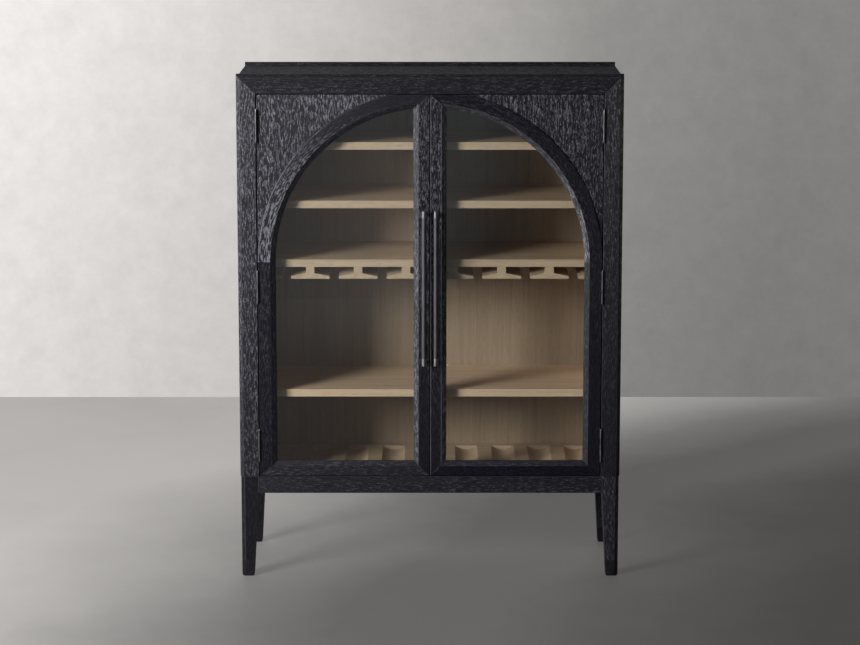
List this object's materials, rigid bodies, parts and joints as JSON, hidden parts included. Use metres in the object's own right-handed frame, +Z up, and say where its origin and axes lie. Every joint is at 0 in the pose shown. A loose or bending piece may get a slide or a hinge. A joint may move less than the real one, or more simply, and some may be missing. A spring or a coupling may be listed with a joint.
{
  "type": "bar cabinet",
  "caption": "Tall bar cabinet on tapered legs, with glazed doors that meet in an arch, and shelves, a stemware rack and a bottle cradle inside.",
  "frame": {"origin": "on the floor, under the middle of the whole object with its handles", "axes": "+Z up, the doors face -Y, +X to the right of someone who looks at the doors"},
  "size_m": [1.2, 0.488, 1.6],
  "materials": {
    "black_oak": "brushed open-grain oak, stained black, matt",
    "light_oak": "light oak, matt lacquer",
    "clear_glass": "clear float glass",
    "dark_metal": "blackened, satin"
  },
  "bodies": {
    "cabinet": {"leg_front_left": "black_oak", "leg_front_right": "black_oak", "leg_back_left": "black_oak", "leg_back_right": "black_oak", "apron_front": "black_oak", "apron_back": "black_oak", "apron_left": "black_oak", "apron_right": "black_oak", "front_stile_left": "black_oak", "front_stile_right": "black_oak", "front_top_rail": "black_oak", "side_panel_left": "black_oak", "side_panel_right": "black_oak", "top_panel": "black_oak", "back_rail": "black_oak", "side_lining_left": "light_oak", "side_lining_right": "light_oak", "back_panel": "light_oak", "bottom_panel": "light_oak", "shelf_1": "light_oak", "shelf_2": "light_oak", "shelf_3": "light_oak", "shelf_4": "light_oak", "divider": "light_oak", "rack_rail_1": "light_oak", "rack_rail_2": "light_oak", "rack_rail_3": "light_oak", "rack_rail_4": "light_oak", "rack_rail_5": "light_oak", "rack_rail_6": "light_oak", "rack_half_rail_left": "light_oak", "rack_half_rail_right": "light_oak", "bottle_cradle": "light_oak", "door_catch": "dark_metal", "hinge_left_lower_frame_leaf": "dark_metal", "hinge_left_middle_frame_leaf": "dark_metal", "hinge_left_upper_frame_leaf": "dark_metal", "hinge_right_lower_frame_leaf": "dark_metal", "hinge_right_middle_frame_leaf": "dark_metal", "hinge_right_upper_frame_leaf": "dark_metal"},
    "left_door": {"door_left_outer_stile": "black_oak", "door_left_bottom_rail": "black_oak", "door_left_meeting_stile": "black_oak", "door_left_arch_band": "black_oak", "door_left_corner_panel": "black_oak", "door_left_glass": "clear_glass", "door_left_pull": "dark_metal", "hinge_left_lower_door_leaf": "dark_metal", "hinge_left_middle_door_leaf": "dark_metal", "hinge_left_upper_door_leaf": "dark_metal"},
    "right_door": {"door_right_outer_stile": "black_oak", "door_right_bottom_rail": "black_oak", "door_right_meeting_stile": "black_oak", "door_right_arch_band": "black_oak", "door_right_corner_panel": "black_oak", "door_right_glass": "clear_glass", "door_right_pull": "dark_metal", "hinge_right_lower_door_leaf": "dark_metal", "hinge_right_middle_door_leaf": "dark_metal", "hinge_right_upper_door_leaf": "dark_metal"}
  },
  "joints": [
    {"name": "left_door_swing", "type": "hinge", "parent": "cabinet", "child": "left_door", "pos_m": [-0.5385, -0.2093, 0.933], "axis": [0, 0, -1], "range_deg": [0, 110]},
    {"name": "right_door_swing", "type": "hinge", "parent": "cabinet", "child": "right_door", "pos_m": [0.5385, -0.2093, 0.933], "axis": [0, 0, 1], "range_deg": [0, 110]}
  ]
}
